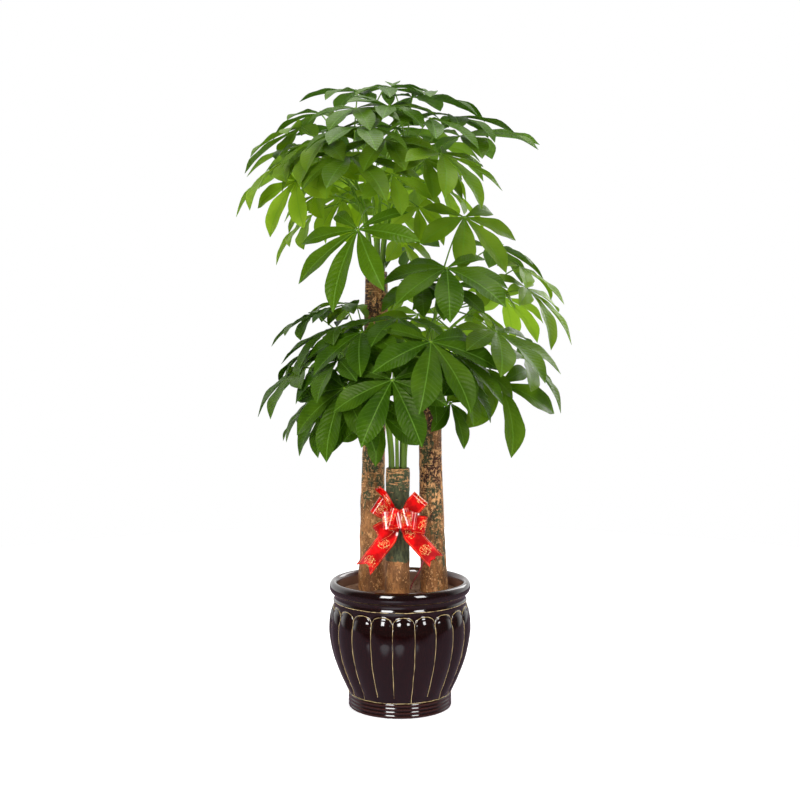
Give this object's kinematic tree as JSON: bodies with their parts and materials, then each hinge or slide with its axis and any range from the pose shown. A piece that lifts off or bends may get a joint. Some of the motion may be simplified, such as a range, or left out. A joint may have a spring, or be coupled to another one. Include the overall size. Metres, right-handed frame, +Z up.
{
  "type": "potted money tree",
  "caption": "Potted money tree: cut trunks in a fluted glazed pot of soil, green shoots with palmate leaves in tiers, and a ribbon bow tied round the shortest trunk.",
  "frame": {"origin": "middle of the pot's flat underside", "axes": "+Z up along the pot's axis; -Y towards the side on which the bow is seen"},
  "size_m": [0.7921, 0.6979, 1.4346],
  "materials": {
    "glaze": "gloss",
    "soil": "matte",
    "bark": "matte",
    "leaf": "satin",
    "ribbon": "gloss",
    "string": "satin"
  },
  "bodies": {
    "root": {"bow": "ribbon", "bow_string": "string", "bow_tie": "ribbon", "pot": "glaze", "shoot_medium_1": "leaf", "shoot_medium_2": "leaf", "shoot_medium_3": "leaf", "shoot_medium_4": "leaf", "shoot_short_1": "leaf", "shoot_short_2": "leaf", "shoot_short_3": "leaf", "shoot_short_4": "leaf", "shoot_short_5": "leaf", "shoot_short_6": "leaf", "shoot_short_7": "leaf", "shoot_tall_1": "leaf", "shoot_tall_2": "leaf", "shoot_tall_3": "leaf", "shoot_tall_4": "leaf", "shoot_tall_5": "leaf", "shoot_tall_6": "leaf", "soil": "soil", "trunk_medium": "bark", "trunk_short": "bark", "trunk_tall": "bark"}
  },
  "joints": []
}
